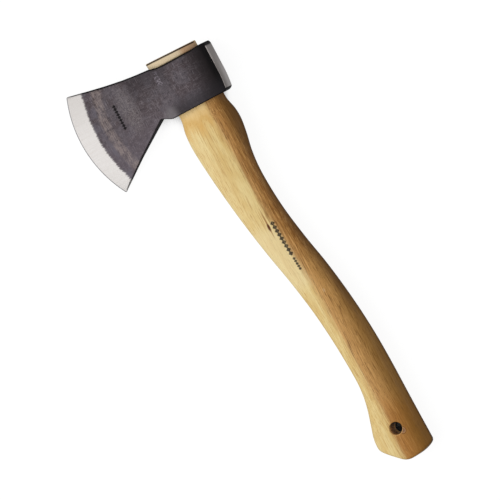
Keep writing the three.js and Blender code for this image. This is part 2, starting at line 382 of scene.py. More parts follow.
def cheek_stations():
    """Straight lines from behind the poll to the notch, then curves that turn into the bevel's border."""
    stations = []
    for y in [*np.arange(19.4, -21, -1.5), *np.linspace(-21.8, NOTCH, 9)]:
        stations.append((lambda x, y=y: y + 0 * x, 0, 0))
    for share in [*np.linspace(0, 1, 36)[1:-1], 0.996, 1]:
        stations.append((lambda x, s=share: mix(NOTCH, bevel_line(x), s), 0, 0))
    return stations


def bevel_stations():
    """Curves down the ground bevel to the cutting edge, and the insets of the edge's rounded ends."""
    stations = []
    for share in [0.015, *np.linspace(0.1, 0.9, 10), 0.945, 0.96, 0.975, 0.987, 0.995, 1]:
        inset = corner_inset((1 - share) * CORNER_REACH, EDGE_CORNER, EDGE_CORNER)
        stations.append((lambda x, s=share: mix(bevel_line(x), edge_line(x), s), inset, inset))
    return stations


def meet(line, curve):
    """The x at which an outline x(y) and a station's curve y(x) cross, found step by step."""
    x = np.array(20.0)
    steps = 60
    share = 0.7
    for _ in range(steps):
        x = mix(x, line(curve(x)), share)
    return float(x)


def head_ring(curve, top_inset, under_inset):
    """One closed section of the head: up the top, over the near cheek, down the underside and back."""
    top = meet(top_line, curve) + top_inset
    under = meet(under_line, curve) - under_inset
    flank = np.array([0.12, 0.4, 0.7])
    turn = np.linspace(0, math.pi / 2, RIM_POINTS)[:-1]
    half = [head_half(x, curve(x)) for x in (top + RIM, under - RIM)]
    rim = [min(RIM, 0.8 * thickness) for thickness in half]
    near_x = mix(top + rim[0], under - rim[1], np.linspace(0, 1, CHEEK_POINTS))
    x = np.concatenate([
        np.full(3, top),
        top + rim[0] * (1 - np.cos(turn)),
        near_x,
        (under - rim[1] * (1 - np.cos(turn)))[::-1],
        np.full(3, under),
    ])
    z = np.concatenate([
        flank * (half[0] - rim[0]),
        half[0] - rim[0] * (1 - np.sin(turn)),
        head_half(near_x, curve(near_x)),
        (half[1] - rim[1] * (1 - np.sin(turn)))[::-1],
        (flank * (half[1] - rim[1]))[::-1],
    ])
    y = curve(x)
    near = np.stack([x, y, z], 1)
    far = near[::-1] * (1, 1, -1)
    return np.vstack([near, far])


def forge(points):
    """Adds the low waves that a hammer leaves in the cheeks, which fade out at the bevel and at the poll."""
    for point in points:
        x, y, z = point
        rough = smooth_step((edge_reach(x, y) - bevel_width(x)) / 6) * smooth_step((POLL_FACE - 3 - y) / 5)
        side = 1 if z > 0 else -1
        long_wave = noise.noise((x / LONG_WAVE, y / LONG_WAVE, 3 * side))
        short_wave = noise.noise((x / SHORT_WAVE, y / SHORT_WAVE, 9 * side))
        wave = long_wave + 0.5 * short_wave
        point[2] += side * FORGING_WAVE * wave * rough * min(abs(z) / 3, 1)
    return points


def head_solid():
    """The head, lofted through stations: a curve y(x), and its insets at the top and at the underside."""
    stations = [*poll_stations(), *cheek_stations(), *bevel_stations()]
    rings = [head_ring(*station) for station in stations]
    curve = stations[0][0]
    face = rings[0]
    middle = (HEAD_TOP + HEAD_UNDER) / 2
    for size in [0.96, 0.85, 0.7, 0.5, 0.3, 0.1]:
        x = middle + (face[:, 0] - middle) * size
        rings.insert(0, np.stack([x, curve(x), face[:, 2] * size], 1))
    points, faces = skin(rings)
    return new_object("forged_head", forge(points), faces)


def oval_ring(x, oval, grow):
    """Points round an oval (back, front, half width, squareness), grown on every side."""
    back, front, half, squareness = oval
    angle = np.linspace(0, 2 * math.pi, EYE_SIDES, endpoint=False)
    across = np.sign(np.cos(angle)) * np.abs(np.cos(angle)) ** (2 / squareness)
    through = np.sign(np.sin(angle)) * np.abs(np.sin(angle)) ** (2 / squareness)
    y = (back + front) / 2 + across * ((back - front) / 2 + grow)
    return np.stack([x + 0 * y, y, through * (half + grow)], 1)


def eye_oval(x):
    """The oval of the eye at x."""
    down = np.clip((x - HEAD_TOP) / (HEAD_UNDER - HEAD_TOP), -0.2, 1)
    back, front, half = (mix(top, bottom, down) for top, bottom in zip(EYE_TOP, EYE_BOTTOM))
    return back, front, half, EYE_SQUARENESS


def lip(depth):
    """How far the eye opens out at a depth inside its mouth, or above it where the depth is negative."""
    return corner_inset(max(depth, 0), EYE_FLARE, EYE_FLARE) - min(depth, 0) * MOUTH_FLARE


def eye_cutter():
    """The eye, with a rounded lip where it meets the top and the underside of the head."""
    rings = []
    for depth in LIP_ROWS:
        ring = oval_ring(0.0, eye_oval(HEAD_TOP), lip(depth))
        ring[:, 0] = top_line(ring[:, 1]) + depth
        rings.append(ring)
    for x in mix(HEAD_TOP, HEAD_UNDER, np.linspace(0.1, 0.9, 9)):
        rings.append(oval_ring(x, eye_oval(x), 0))
    for depth in reversed(LIP_ROWS):
        rings.append(oval_ring(HEAD_UNDER - depth, eye_oval(HEAD_UNDER), lip(depth)))
    return new_object("eye_cutter", *skin(rings))


def rim_distances(x, y):
    """How far a point of the head lies below its top line and above its underside."""
    corner = corner_inset(POLL_FACE - y + POLL_DROP, *POLL_UNDER_CORNER)
    beard_slope = mix(0.82, 1, smooth_step((y - NOTCH) / 4))
    return x - top_line(y), (under_line(y) - corner - x) * beard_slope


def poll_depth(x, y):
    """How far a point lies inside the bright ground face of the poll."""
    below_top, above_under = rim_distances(x, y)
    inside = np.minimum(below_top - RIM_SHADE_POLL_CORNER + 0.3, above_under - 0.5)
    return np.minimum(POLL_CHAMFER - (POLL_FACE - poll_drop(x) - y), inside)


def rim_shade_share(x, y):
    """Where painted shade lies along the rims, which turn away from the light: 1 at a rim, 0 beyond the shade's
    width.
    """
    below_top, above_under = rim_distances(x, y)
    top_shade_width = mix(RIM_SHADE_WIDTH, RIM_SHADE_POLL_CORNER, smooth_step((y - 24) / 3))
    under_shade_width = mix(RIM_SHADE_BEARD, RIM_SHADE_UNDER_EYE, smooth_step((y + 31) / 4))
    edge = np.minimum(below_top / top_shade_width, above_under / under_shade_width)
    return 1 - smooth_step((edge - 0.45) / 0.6)


def paint_head(head):
    """Stores the depth in mm inside the bevel and the poll, the distance to the edge, and where painted shade
    lies along the rims and on the sides.
    """
    x, y, z = in_tool(head).T
    reach = edge_reach(x, y)
    beard = smooth_step((NOTCH + 2 - y) / 2) * (x > 30)
    paint(head, "bevel_depth", np.clip(bevel_width(x) - reach, -40, 20))
    paint(head, "edge_reach", np.clip(reach, 0, 20))
    paint(head, "poll_depth", np.clip(poll_depth(x, y), -40, 20))
    # Painted shade: along the rims, and on the sides except the near half of the beard's wall
    paint(head, "rim_shade", rim_shade_share(x, y))
    paint(head, "side_shade", 1 - 0.85 * beard * smooth_step((z + 1) / 2))


def build_head():
    head = head_solid()
    cut(head, eye_cutter())
    paint_head(head)
    shade(head, sharp=34)
    return head


# ---- haft

def haft_oval(x):
    """The oval of the haft at x: the eye's own oval in the head, then the carved handle."""
    eye = eye_oval(x)
    out = smooth_step((x - HEAD_UNDER) / SHOULDER_LENGTH)
    back = mix(eye[0] - FIT, back_edge(x), out)
    front = mix(eye[1] + FIT, front_edge(x), out)
    half = mix(eye[2] - FIT, half_width(x), out)
    squareness = np.where(x <= HEAD_UNDER, EYE_SQUARENESS, HAFT_SQUARENESS)
    return back, front, half, squareness


def beyond(straight_cut, x, y):
    """How far a point lies beyond a straight cut through the side view."""
    (across_x, across_y), (cut_x, cut_y) = straight_cut
    return across_x * (x - cut_x) + across_y * (y - cut_y)


def haft_field(x, y, z, proud):
    """Less than zero inside the haft, more outside: its ovals, its trimmed top and its shaped end."""
    back, front, half, squareness = haft_oval(x)
    away = y - (back + front) / 2
    reach = np.hypot(away, z)
    size = (np.abs(away) * 2 / (back - front)) ** squareness + (np.abs(z) / half) ** squareness
    side = reach - reach / np.maximum(size, 1e-9) ** (1 / squareness)
    top = HAFT_TOP - proud + HAFT_TOP_SLANT * y - x
    tail = smooth_max(x - HAFT_END, beyond(SWELL_SLANT, x, y), SLANT_ROUNDING)
    tail = smooth_max(tail, beyond(SWELL_HEEL, x, y), HEEL_ROUNDING)
    return smooth_max(smooth_max(side, tail, END_ROUNDING), top, TOP_ROUNDING)


def carve(origin, direction, proud):
    """Where rays from points inside the haft leave it, found by halving."""
    near = np.zeros(direction.shape[:-1])
    far = np.full(direction.shape[:-1], RAY_LENGTH)
    for _ in range(RAY_HALVINGS):
        middle = (near + far) / 2
        place = origin + direction * middle[..., None]
        inside = haft_field(place[..., 0], place[..., 1], place[..., 2], proud) < 0
        near = np.where(inside, middle, near)
        far = np.where(inside, far, middle)
    return origin + direction * near[..., None]


def fan(x, length, rows):
    """Rays that turn from across the haft to along it, towards the end that lies length away."""
    back, front, half, _ = haft_oval(np.array(float(x)))
    angle = np.linspace(0, 2 * math.pi, HAFT_SIDES, endpoint=False)
    across = np.stack([0 * angle, np.cos(angle) * (back - front) / 2, np.sin(angle) * half], 1)
    turn = np.linspace(math.pi / 2, 0, rows + 1)[:-1, None, None]
    rays = np.sin(turn) * across + np.cos(turn) * np.array([length, 0, 0])
    rays /= np.linalg.norm(rays, axis=-1, keepdims=True)
    return np.broadcast_to([x, (back + front) / 2, 0.0], rays.shape), rays


def haft_solid(name, proud):
    """The haft before it is drilled and wedged, carved by rays that fan out at both ends."""
    rings = [*carve(*fan(GRIP_START, TOP_FAN, TOP_ROWS), proud)[::-1]]
    for x in np.linspace(GRIP_START, GRIP_END, GRIP_ROWS)[1:-1]:
        rings.extend(carve(*fan(x, 0.0, 1), proud))
    rings.extend(carve(*fan(GRIP_END, END_FAN, END_ROWS), proud))
    return new_object(name, *skin(rings))


def surface_height(x, y):
    """The height of the haft's near face over points of its side view."""
    origin = np.stack([x, y, 0 * x], 1)
    return carve(origin, np.broadcast_to([0.0, 0.0, 1.0], origin.shape), 0)[:, 2]


def hole_cutter():
    """The lanyard hole, with its rims eased along the curved faces of the haft."""
    angle = np.linspace(0, 2 * math.pi, HOLE_SIDES, endpoint=False)
    rings = []
    for depth in HOLE_ROWS:
        grow = corner_inset(max(depth, 0), HOLE_RIM, HOLE_RIM) - 0.8 * min(depth, 0)
        radius = HOLE_RADIUS + grow
        x = HOLE[0] + radius * np.cos(angle)
        y = HOLE[1] + radius * np.sin(angle)
        rings.append(np.stack([x, y, surface_height(x, y) - depth], 1))
    far_side = [ring * (1, 1, -1) for ring in rings[::-1]]
    return new_object("hole_cutter", *skin(rings + far_side))


def taper_cutter(grow):
    """The wooden wedge's taper, longer than the eye is high so that it cuts through the top of the haft."""
    slope = (WOOD_HALF_TOP - WOOD_HALF_TIP) / (WOOD_DEPTH - HAFT_TOP)
    rings = []
    wide = KERF_HALF
    for x in [KERF_TOP, WOOD_DEPTH + grow]:
        half = WOOD_HALF_TIP + slope * (WOOD_DEPTH - x) + grow
        rings.append([(x, -wide, -half), (x, wide, -half), (x, wide, half), (x, -wide, half)])
    return new_object("taper_cutter", *skin(rings))


def steel_profile(grow):
    """Side view of the steel wedge as (x, half thickness), with its barbed steps."""
    profile = [(STEEL_TOP, STEEL_HALF_TOP + grow)]
    for step in range(1, STEEL_BARBS + 1):
        down = step / (STEEL_BARBS + 1)
        half = mix(STEEL_HALF_TOP, STEEL_HALF_TIP, down) + grow
        x = STEEL_TOP + down * STEEL_DEPTH
        profile.extend([(x, half), (x, half + STEEL_BARB)])
    profile.append((STEEL_TOP + STEEL_DEPTH + grow, STEEL_HALF_TIP + grow))
    return profile


def steel_wedge_solid(name, grow, rise):
    """The steel wedge, turned across the wooden one; rise lengthens its top so that it can cut a slot."""
    profile = steel_profile(grow)
    profile.insert(0, (STEEL_TOP - rise, STEEL_HALF_TOP + grow))
    outline = profile + [(x, -half) for x, half in reversed(profile)]
    turn = math.radians(90 - STEEL_TURN)
    thick = Vector((0, math.cos(turn), math.sin(turn)))
    wide = Vector((0, -math.sin(turn), math.cos(turn)))
    points = []
    for side in (-1, 1):
        for x, half in outline:
            across = thick * half + wide * side * (STEEL_WIDTH / 2 + grow)
            points.append((x, across.y, across.z))
    count = len(outline)
    faces = [tuple(range(count)), tuple(range(2 * count - 1, count - 1, -1))]
    for index in range(count):
        other = (index + 1) % count
        faces.append((other, index, index + count, other + count))
    return new_object(name, points, faces)


def soften(piece, width):
    """Rounds every sharp edge of a piece over a width in mm."""
    modifier = piece.modifiers.new("edges", "BEVEL")
    modifier.width = width * MM
    modifier.segments = 3
    modifier.limit_method = "ANGLE"
    modifier.angle_limit = math.radians(35)
    bake(piece)


def build_haft():
    haft = haft_solid("carved_haft", 0)
    cut(haft, hole_cutter())
    cut(haft, taper_cutter(FIT))
    cut(haft, steel_wedge_solid("slot_cutter", FIT, SLOT_RISE))
    shade(haft, sharp=38)
    return haft


def build_wooden_wedge():
    wedge = haft_solid("hardwood_wedge", WOOD_PROUD)
    cut(wedge, taper_cutter(0), "INTERSECT")
    cut(wedge, steel_wedge_solid("slot_cutter", FIT, SLOT_RISE))
    shade(wedge, sharp=30)
    return wedge


def build_steel_wedge():
    wedge = steel_wedge_solid("barbed_wedge", grow=0, rise=0.001)
    soften(wedge, STEEL_EASING)
    shade(wedge, sharp=30)
    return wedge


# ---- material nodes

def linear_colour(screen_colour):
    """A colour given as it looks on a screen, 0 to 255, as the linear colour that a shader takes."""
    linear = []
    for value in screen_colour:
        share = value / 255
        linear.append(share / 12.92 if share <= 0.04045 else ((share + 0.055) / 1.055) ** 2.4)
    return (*linear, 1.0)


class Shader:
    """One material's node tree, with methods that add nodes and give back their output sockets."""

    def __init__(self, name):
        self.material = bpy.data.materials.new(name)
        self.material.use_nodes = True
        self.tree = self.material.node_tree
        self.tree.nodes.clear()
        self.surface = self.node("BsdfPrincipled")
        self.node("OutputMaterial", self.surface.outputs[0])

    def feed(self, socket, value):
        if isinstance(value, bpy.types.NodeSocket):
            self.tree.links.new(value, socket)
        else:
            socket.default_value = value

    def set(self, name, value):
        self.feed(self.surface.inputs[name], value)

    def node(self, kind, *values, **settings):
        """Adds and gives back a node of a kind, with its settings and with values in its first sockets."""
        node = self.tree.nodes.new("ShaderNode" + kind)
        for name, setting in settings.items():
            setattr(node, name, setting)
        for socket, value in zip(node.inputs, values):
            self.feed(socket, value)
        return node

    def attribute(self, name):
        return self.node("Attribute", attribute_name=name).outputs["Fac"]

    def math(self, operation, *values):
        return self.node("Math", *values, operation=operation).outputs[0]

    def add(self, *values):
        return reduce(partial(self.math, "ADD"), values)

    def times(self, *values):
        return reduce(partial(self.math, "MULTIPLY"), values)

    def line(self, value, slope, offset):
        return self.math("MULTIPLY_ADD", value, slope, offset)

    def ramp(self, value, low, high, start=0, end=1):
        """Goes smoothly from start to end as value goes from low to high, either of which may be the less."""
        node = self.node("MapRange", value, low, high, start, end, interpolation_type="SMOOTHSTEP")
        return node.outputs[0]

    def between(self, value, low, high, soft):
        """1 between low and high, fading to 0 over a length of soft outside them."""
        return self.times(self.ramp(value, low - soft, low), self.ramp(value, high + soft, high))

    def blend(self, first, second, share):
        """The first colour where share is 0, the second where it's 1. Plain colours are as on a screen."""
        node = self.node("Mix", share, data_type="RGBA", clamp_factor=True)
        for socket, colour in ((node.inputs[6], first), (node.inputs[7], second)):
            self.feed(socket, linear_colour(colour) if isinstance(colour, tuple) else colour)
        return node.outputs[2]

    def coats(self, colour, *coats):
        """Lays coats over a colour, each given as its colour and the factors of how much it covers."""
        for coat, *cover in coats:
            colour = self.blend(colour, coat, self.times(*cover))
        return colour

    def bump(self, height, depth):
        """A bump whose height of 0 to 1 stands for a depth in mm."""
        node = self.node("Bump", 1, depth * MM)
        self.feed(node.inputs["Height"], height)
        return node.outputs[0]


class ToolShader(Shader):
    """A material that is laid out in the tool's frame, in millimetres."""

    def __init__(self, name):
        super().__init__(name)
        self.source = self.node("TexCoord").outputs
        tool = (TOOL.translation, TOOL.to_euler("XYZ"), (MM, MM, MM))
        self.place = self.node("Mapping", self.source["Object"], *tool, vector_type="TEXTURE").outputs[0]
        self.x, self.y, self.z = self.node("SeparateXYZ", self.place).outputs

    def facing(self, axis):
        """How squarely the surface faces an axis of the tool, from 0 to 1."""
        direction = tuple(TOOL.col[axis].xyz.normalized())
        dot = self.node("VectorMath", self.source["Normal"], direction, operation="DOT_PRODUCT")
        return self.math("ABSOLUTE", dot.outputs["Value"])

    def noise(self, size, detail=2, roughness=0.5, seed=0):
        """Soft noise from 0 to 1, with blobs of the given size in mm along x, y and z."""
        shrink = tuple(1 / length for length in size)
        shift = (seed,) * 3
        scaled = self.node("VectorMath", self.place, shrink, shift, operation="MULTIPLY_ADD")
        return self.node("TexNoise", scaled.outputs[0], 0, 1, detail, roughness).outputs[0]

    def reach(self, centre, size):
        """The square of the distance from a centre in the side view, as a share of a size along x and y."""
        along = self.times(self.line(self.x, 1, -centre[0]), 1 / size[0])
        across = self.times(self.line(self.y, 1, -centre[1]), 1 / size[1])
        return self.add(self.times(along, along), self.times(across, across))

    def patch(self, centre, size):
        """1 at the centre of an oval patch of the given half sizes, falling to 0 at its border."""
        return self.ramp(self.reach(centre, size), 1, 0)

    def diamonds(self, along, across, length, pitch, half_long, half_wide):
        """A row of small diamonds: along runs down the row from 0 to length, across is measured from it."""
        step = self.math("FRACT", self.times(along, 1 / pitch))
        offset = self.math("ABSOLUTE", self.line(step, 1, -0.5))
        reach = self.add(
            self.times(offset, pitch / half_long),
            self.times(self.math("ABSOLUTE", across), 1 / half_wide),
        )
        shape = self.ramp(reach, 1.1, 0.85)
        return self.times(shape, self.between(along, 0, length, 0.05))


# ---- hickory

class Hickory(ToolShader):
    """Pale sapwood on the blade side and brown heartwood on the poll side, under a thin coat of lacquer."""

    def __init__(self):
        super().__init__("hickory_lacquered")
        sway = self.noise((90, 26, 26))
        self.cross_grain = self.noise((4, 1.2, 0.35), 3, 0.6, seed=23)
        bent_y = self.add(self.y, self.times(sway, 7))
        self.place = self.node("CombineXYZ", self.x, bent_y, self.z).outputs[0]
        self.broad = self.noise((120, 5, 5), seed=3)
        self.medium = self.noise((40, 1.2, 1.2), 3, 0.6, seed=7)
        self.fine = self.noise((10, 0.5, 0.5), 2, 0.65, seed=11)
        self.grain = self.noise((24, 0.85, 0.85), 3, 0.7, seed=35)
        self.pores = self.noise((3.6, 0.32, 0.32), 1, 0.5, seed=19)
        self.cloud = self.noise((26, 4.5, 4.5), 3, 0.6, seed=29)
        self.above = self.above_border()
        self.heart = self.heart_share()
        self.near = self.ramp(self.z, 0, 2)
        self.ends = self.ramp(self.facing(0), 0.75, 0.95)

    def above_border(self):
        """How far a point lies on the heartwood's side of the border, which rises in steps down the haft."""
        steps = [self.ramp(self.x, *step) for step in HEARTWOOD_STEPS]
        border = self.add(*steps, self.times(self.z, 0.15))
        return self.add(self.y, self.times(border, -1))

    def heart_share(self):
        """1 in the heartwood and 0 in the sapwood, with a streaky border between them."""
        streaks = [self.line(noise, 5, -2.5) for noise in (self.medium, self.broad, self.fine)]
        return self.ramp(self.add(self.above, *streaks), -3.4, 3)

    def sapwood(self):
        return self.coats(
            self.blend((224, 192, 125), (236, 212, 150), self.ramp(self.cloud, 0.32, 0.68)),
            # Painted light: paler towards the blade-side edge, which faces the light
            ((242, 221, 165), self.ramp(self.above, -8, -26), 0.6),
            ((208, 170, 100), self.ramp(self.medium, 0.52, 0.72), 0.45),
            ((196, 154, 92), self.ramp(self.grain, 0.48, 0.34), 0.8),
            ((190, 150, 84), self.ramp(self.fine, 0.56, 0.76), 0.4),
            ((244, 226, 176), self.between(self.x, 168, 212, 14), 0.5),
        )

    def heartwood(self):
        return self.coats(
            self.blend((182, 132, 72), (158, 106, 50), self.ramp(self.medium, 0.35, 0.65)),
            ((140, 94, 46), self.ramp(self.broad, 0.52, 0.7), 0.6),
            ((118, 76, 34), self.ramp(self.fine, 0.5, 0.7), 0.7),
            ((204, 156, 92), self.between(self.x, 205, 325, 25), 0.72),
            ((200, 150, 88), self.between(self.x, 40, 90, 10), 0.35),
            ((202, 156, 98), self.ramp(self.above, 8, 0), 0.55),
            ((226, 176, 110), self.ramp(self.grain, 0.53, 0.66), 0.65),
            ((96, 58, 24), self.ramp(self.grain, 0.47, 0.33), 0.7),
            ((182, 124, 58), self.ramp(self.x, 315, 350), 0.6),
            *self.heartwood_and_poll_shade(),
        )

    def heartwood_and_poll_shade(self):
        """Coats that darken the heartwood towards the poll side, most of all in the grip's upper half: partly
        the heartwood's deeper colour, partly painted shade on the side turned away from the light.
        """
        upper_half = self.ramp(self.x, 250, 165)
        brink = self.times(self.ramp(self.above, 13, 20), self.ramp(self.x, 270, 225))
        return [
            ((116, 80, 26), self.ramp(self.above, 3, 24), 0.8),
            ((84, 52, 16), self.ramp(self.above, 7, 15), upper_half, 0.6),
            ((84, 50, 10), brink, self.ramp(self.x, 160, 190, 0.1, 0.6)),
        ]

    def by_the_head(self):
        """Golden sapwood under the head, with a pale ragged patch of painted light by the eye, which lifts the
        head's shadow on the haft.
        """
        head_end = self.ramp(self.add(self.x, self.line(self.cloud, 30, -15)), 76, 56)
        sap_side = self.ramp(self.add(self.above, self.line(self.broad, 6, -3)), 2, -3)
        lifted_by_eye = self.ramp(self.add(self.x, self.line(self.cloud, 24, -12)), 58, 46)
        return [
            ((224, 176, 98), head_end, sap_side, 0.7),
            # Painted light that lifts the head's shadow next to the eye
            ((246, 214, 154), lifted_by_eye, self.ramp(self.above, 2, -3), 0.8),
        ]

    def pored(self):
        """Short dark pores, stronger in the heartwood."""
        return [((96, 66, 34), self.ramp(self.pores, 0.56, 0.74), self.line(self.heart, 0.35, 0.15))]

    def marked(self):
        """A knot and its tail, a pale fleck, and an old bud by the lanyard hole, on the near face only."""
        bud = self.patch((359.9, 26.4), (3.7, 3))
        marks = [
            ((156, 102, 52), self.patch((158, 6.6), (17, 0.9)), 0.8),
            ((98, 52, 28), self.patch((161.5, 6.5), (4.6, 1.5)), 1.1),
            ((214, 182, 138), self.patch((228, 22.6), (2.2, 1.4)), 0.4),
            ((104, 62, 26), self.ramp(bud, 0, 0.3), 0.85),
            ((186, 138, 92), self.ramp(bud, 0.3, 0.6), 0.8),
            ((128, 96, 74), self.ramp(bud, 0.75, 0.95), 0.8),
        ]
        return [(colour, cover, self.near, strength) for colour, cover, strength in marks]

    def printed(self):
        """A slightly worn row of large diamonds and a row of small ones, printed on the near face."""
        along = self.line(self.x, 1, -158)
        across = self.add(self.y, self.line(along, -0.066, -10.6))
        large = self.diamonds(along, across, 32.4, 3.6, 2.4, 2.1)
        small = self.diamonds(self.line(along, 1, -34.4), across, 12, 2.4, 1.5, 1.5)
        worn = self.ramp(self.fine, 0.3, 0.46, 0.7, 1)
        return [((30, 26, 24), self.add(large, small), self.near, worn, 0.92)]

    def sawn(self):
        """End grain on the two sawn ends, and raw wood round the tongue."""
        end_grain = self.blend((196, 158, 108), (150, 108, 66), self.ramp(self.cross_grain, 0.35, 0.65))
        raw = self.blend((225, 206, 175), (204, 168, 132), self.ramp(self.y, 7, 13))
        tongue = self.ramp(self.x, 4, 1)
        return [(end_grain, self.ends), (raw, tongue, self.math("SUBTRACT", 1, self.ends), 0.85)]

    def dark_rims_and_eye_shade(self):
        """Dark rims round the top of the tongue, and a band of painted shade where the haft enters the eye."""
        from_top = self.add(self.x, self.times(self.y, -HAFT_TOP_SLANT))
        rim = self.ramp(from_top, HAFT_TOP + 1.8, HAFT_TOP + 0.9)
        dark_top_rim = self.times(rim, self.line(self.ends, -0.7, 1))
        eye_gap_shade = self.times(self.ramp(self.x, 1.4, 2.6), self.ramp(self.x, 40, 20))
        return [((24, 15, 10), self.math("MAXIMUM", dark_top_rim, eye_gap_shade), 0.95)]

    def painted_edge_shade(self):
        """Painted shade on the wood where the haft turns away to its blade side and its poll side."""
        sides = self.times(
            self.ramp(self.facing(2), 0.42, 0.12),
            self.ramp(self.x, 40, 48),
            self.line(self.heart, 0.7, 0.3),
            self.line(self.ends, -0.6, 1),
        )
        return [((82, 52, 24), sides, self.ramp(self.x, 350, 375, 0.6, 0.9))]

    def bore(self):
        """1 deep in the lanyard hole, less on its rim."""
        from_centre = self.math("SQRT", self.reach(HOLE, (1, 1)))
        return self.ramp(from_centre, HOLE_RADIUS + 0.2, HOLE_RADIUS + HOLE_RIM, 0.95, 0)

    def hole_wall_light_and_shade(self, bore):
        """The wall of the lanyard hole, with painted light on its side towards the butt and painted shade on
        the other.
        """
        across_x = self.line(self.x, 0.88, -0.88 * HOLE[0])
        across_y = self.line(self.y, -0.47, 0.47 * HOLE[1])
        lit = self.ramp(self.add(across_x, across_y), -4.5, 1.5)
        return [(self.blend((40, 26, 14), (214, 166, 106), lit), bore)]


def hickory():
    wood = Hickory()
    bore = wood.bore()
    wood.set("Base Color", wood.coats(
        wood.blend(wood.sapwood(), wood.heartwood(), wood.heart),
        *wood.by_the_head(), *wood.pored(), *wood.marked(), *wood.printed(),
        *wood.sawn(), *wood.dark_rims_and_eye_shade(), *wood.painted_edge_shade(), *wood.hole_wall_light_and_shade(bore),
    ))
    wood.set("Roughness", wood.ramp(wood.medium, 0.3, 0.7, 0.42, 0.56))
    wood.set("Specular IOR Level", wood.line(bore, -0.14, 0.14))
    relief = wood.add(wood.times(wood.fine, 0.5), wood.times(wood.medium, 0.3), wood.times(wood.pores, -0.5))
    wood.set("Normal", wood.bump(relief, 0.1))
    return wood.material


# ---- forged steel

